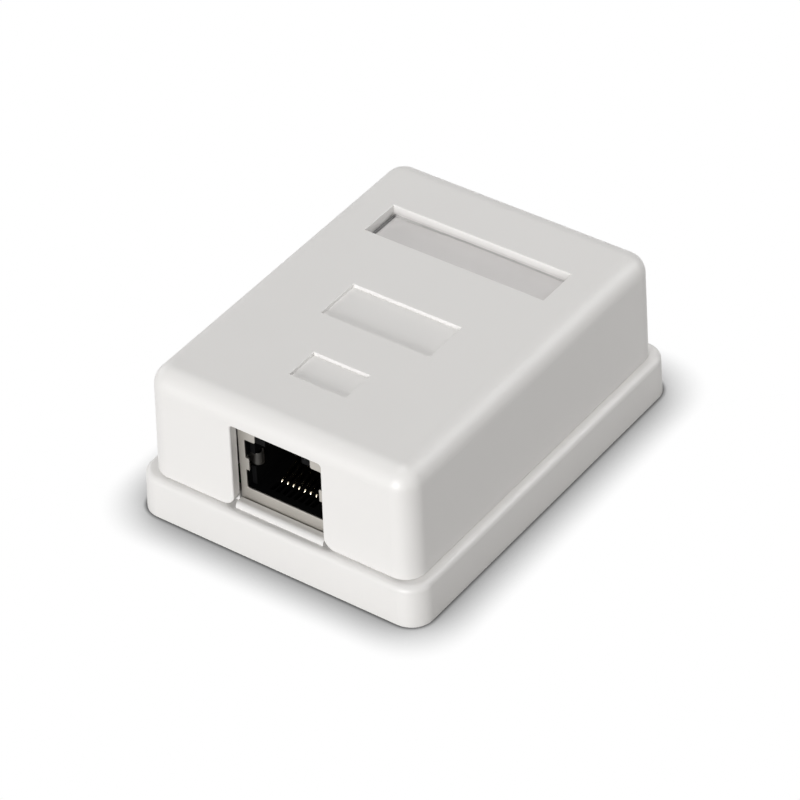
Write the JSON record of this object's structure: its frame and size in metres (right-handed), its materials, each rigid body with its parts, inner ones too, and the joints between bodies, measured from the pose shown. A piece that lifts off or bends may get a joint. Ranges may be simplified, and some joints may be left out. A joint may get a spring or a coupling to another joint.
{
  "type": "surface mount jack box",
  "caption": "Small white surface mount box with a shielded modular data jack, a push-fit cover with a label pocket, and a tray that is screwed to a wall.",
  "frame": {"origin": "middle of the base's underside, on the wall or table that the box stands on", "axes": "+Z out of the wall, -Y the way the jack looks, +X to the right of a viewer who looks into the jack"},
  "size_m": [0.05, 0.066, 0.0254],
  "materials": {
    "white_plastic": "satin",
    "card": "matt",
    "clear_plastic": "gloss",
    "board": "gloss",
    "black_plastic": "satin",
    "shield_metal": "satin",
    "gold": "gloss",
    "terminal_plastic": "satin",
    "blade_metal": "satin",
    "clamp_metal": "satin",
    "screw_metal": "gloss"
  },
  "bodies": {
    "base": {"base": "white_plastic", "circuit_board": "board", "jack_housing": "black_plastic", "jack_shield": "shield_metal", "jack_contact_1": "gold", "jack_contact_2": "gold", "jack_contact_3": "gold", "jack_contact_4": "gold", "jack_contact_5": "gold", "jack_contact_6": "gold", "jack_contact_7": "gold", "jack_contact_8": "gold", "terminal_block_left": "terminal_plastic", "terminal_block_right": "terminal_plastic", "terminal_blade_1": "blade_metal", "terminal_blade_2": "blade_metal", "terminal_blade_3": "blade_metal", "terminal_blade_4": "blade_metal", "terminal_blade_5": "blade_metal", "terminal_blade_6": "blade_metal", "terminal_blade_7": "blade_metal", "terminal_blade_8": "blade_metal", "board_screw_left": "screw_metal", "board_screw_right": "screw_metal", "cable_clamp": "clamp_metal", "clamp_screw_left": "screw_metal", "clamp_screw_right": "screw_metal"},
    "cover": {"cover": "white_plastic", "label_card": "card"},
    "label_window": {"label_window": "clear_plastic"}
  },
  "joints": [
    {"name": "cover_lift", "type": "slide", "parent": "base", "child": "cover", "axis": [0, 0, 1], "range_m": [0, 0.03]},
    {"name": "label_window_lift", "type": "slide", "parent": "cover", "child": "label_window", "axis": [0, 0, 1], "range_m": [0, 0.008]}
  ]
}
